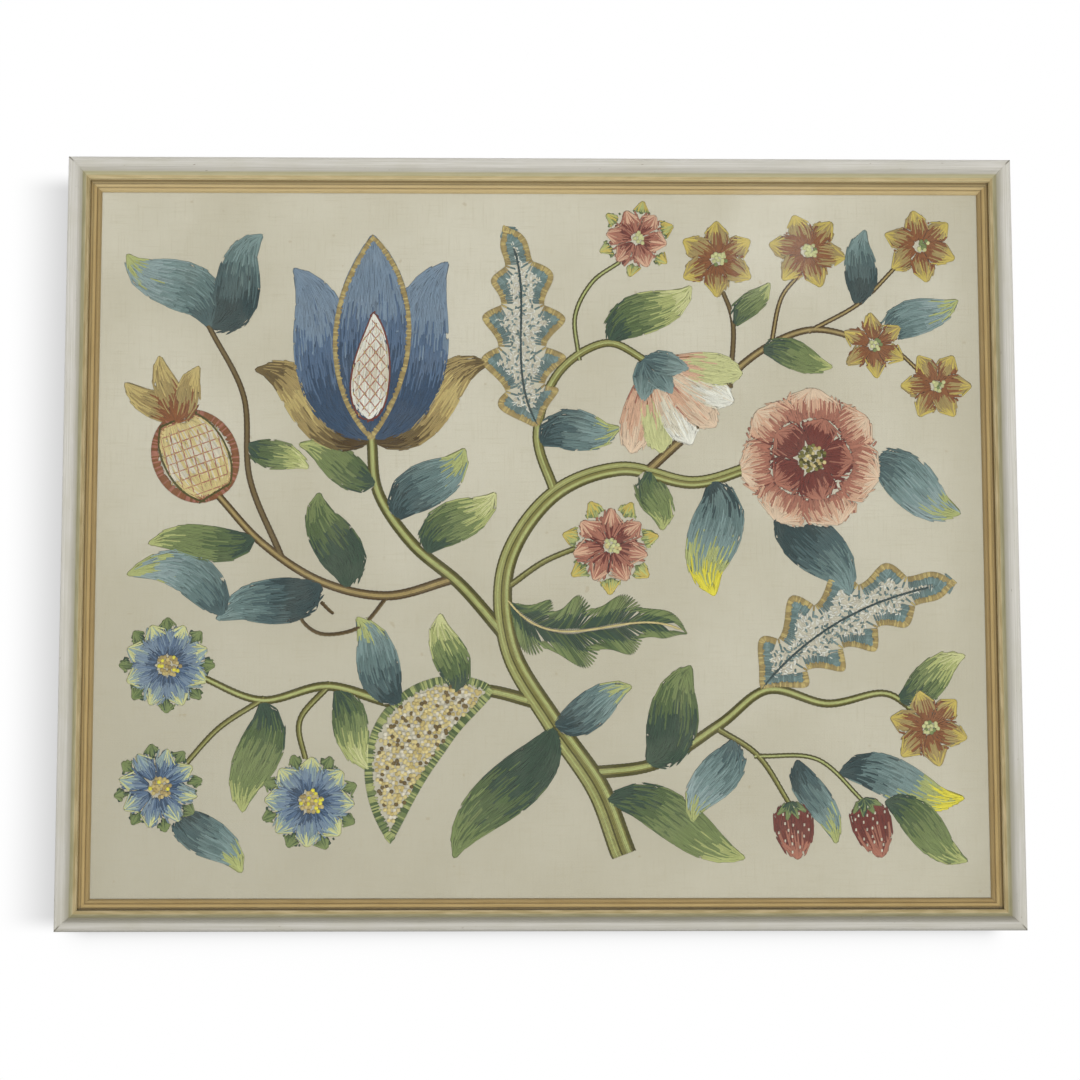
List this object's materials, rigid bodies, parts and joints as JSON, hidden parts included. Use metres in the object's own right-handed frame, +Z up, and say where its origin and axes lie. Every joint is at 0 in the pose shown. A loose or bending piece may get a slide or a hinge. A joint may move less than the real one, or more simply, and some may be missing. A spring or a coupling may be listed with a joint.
{
  "type": "framed crewel embroidery panel with its glazed picture frame",
  "caption": "Landscape crewel wool embroidery on linen, glazed, in a mitred cream moulding with a gilt slip and a backing board, hung flat on a wall.",
  "frame": {"origin": "middle of the top rail's back face, where the panel meets the wall", "axes": "+X to the right along the panel's long side, +Y into the wall, +Z up; the stitched face looks along -Y"},
  "size_m": [0.548, 0.0217, 0.446],
  "materials": {
    "cream_paint": "aged cream paint over wood, satin, a little rubbed at the edges",
    "gilt": "dull gilt over wood",
    "glass": "clear picture glass, polished",
    "stitched_linen": "plain-weave natural linen with crewel wool stitches",
    "board": "brown hardboard, matt"
  },
  "bodies": {
    "root": {"rail_bottom": "cream_paint", "rail_right": "cream_paint", "rail_top": "cream_paint", "rail_left": "cream_paint", "slip_bottom": "gilt", "slip_right": "gilt", "slip_top": "gilt", "slip_left": "gilt", "glass": "glass", "linen": "stitched_linen", "backing_board": "board"}
  },
  "joints": []
}
